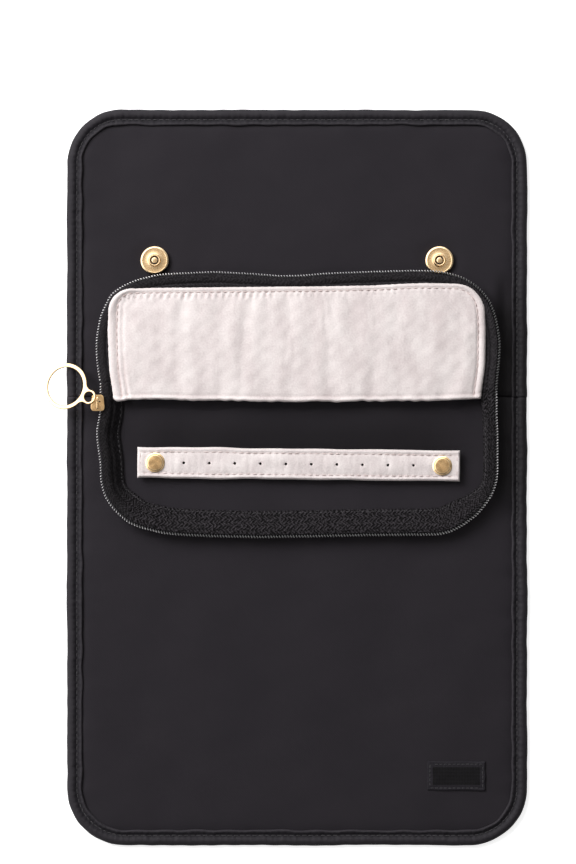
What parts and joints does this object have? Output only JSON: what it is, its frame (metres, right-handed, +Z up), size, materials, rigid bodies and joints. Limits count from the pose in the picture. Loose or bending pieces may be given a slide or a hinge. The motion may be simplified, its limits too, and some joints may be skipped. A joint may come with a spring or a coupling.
{
  "type": "jewelry organizer",
  "caption": "Fold-up padded fabric panel with a zip-around pouch, lift-off earring strip, slip pocket and magnetic snaps.",
  "frame": {"origin": "middle of the panel's underside, where it lies open and flat", "axes": "+X to the right, +Y along the panel towards the flap with the magnetic snaps, +Z up out of the pouch"},
  "size_m": [0.2412, 0.3676, 0.0153],
  "materials": {
    "nylon": "satin woven nylon",
    "binding_tape": "satin bias tape",
    "foam": "matte foam",
    "zip_tape": "herringbone twill",
    "zip_coil": "glossy nylon coil",
    "microsuede": "brushed microsuede",
    "gold": "polished pale gold plate",
    "steel": "plain steel",
    "woven_label": "woven satin"
  },
  "bodies": {
    "panel": {"outer_shell_centre": "nylon", "padding_centre": "foam", "lining_centre": "nylon", "fold_strip_upper": "nylon", "fold_strip_lower": "nylon", "binding_left": "binding_tape", "binding_right": "binding_tape", "magnet_socket_left": "gold", "magnet_rivet_left": "gold", "magnet_washer_left": "steel", "magnet_socket_right": "gold", "magnet_rivet_right": "gold", "magnet_washer_right": "steel", "zip_tape_base": "zip_tape", "zip_coil_base": "zip_coil", "pouch_spine": "nylon", "zip_bend_left": "zip_tape", "zip_bend_right": "zip_tape", "snap_stud_left": "gold", "snap_stud_right": "gold"},
    "upper_flap": {"outer_shell_upper": "nylon", "padding_upper": "foam", "lining_upper": "nylon", "binding_upper": "binding_tape"},
    "lower_flap": {"outer_shell_lower": "nylon", "padding_lower": "foam", "lining_lower": "nylon", "binding_lower": "binding_tape", "label_patch": "woven_label"},
    "lid": {"lid_shell": "nylon", "lid_foam": "foam", "lid_lining": "nylon", "lid_pocket": "microsuede", "zip_tape_lid": "zip_tape", "zip_coil_lid": "zip_coil"},
    "slider": {"slider_body": "gold", "slider_crown": "gold"},
    "link": {"pull_link": "gold"},
    "ring": {"ring_pull": "gold"},
    "earring_strip": {"strip_face": "microsuede", "strip_backing": "microsuede", "snap_cap_left": "gold", "snap_cap_right": "gold", "snap_socket_left": "gold", "snap_socket_right": "gold"}
  },
  "joints": [
    {"name": "lower_fold", "type": "hinge", "parent": "panel", "child": "lower_flap", "pos_m": [0, -0.04424, 0.0112], "axis": [-1, 0, 0], "range_deg": [0, 179.8], "deforming": ["fold_strip_lower"]},
    {"name": "upper_fold", "type": "hinge", "parent": "panel", "child": "upper_flap", "pos_m": [0, 0.13026, 0.0134], "axis": [1, 0, 0], "range_deg": [0, 180], "deforming": ["fold_strip_upper"]},
    {"name": "lid_hinge", "type": "hinge", "parent": "panel", "child": "lid", "pos_m": [0.0014, 0.03641, 0.01075], "axis": [1, 0, 0], "range_deg": [0, 180], "deforming": ["pouch_spine", "zip_bend_left", "zip_bend_right"]},
    {"name": "slider_travel", "type": "slide", "parent": "panel", "child": "slider", "axis": [0, 1, 0], "range_m": [-0.026, 0]},
    {"name": "link_swing", "type": "hinge", "parent": "slider", "child": "link", "pos_m": [-0.09895, 0.03831, 0.0136], "axis": [0, -1, 0], "range_deg": [-90, 0]},
    {"name": "ring_swing", "type": "hinge", "parent": "link", "child": "ring", "pos_m": [-0.10314, 0.04017, 0.0124], "axis": [-0.3528, 0.1571, 0.9224], "range_deg": [0, 45]},
    {"name": "strip_lift", "type": "slide", "parent": "panel", "child": "earring_strip", "axis": [0, 0, -1], "range_m": [-0.02, 0]}
  ]
}
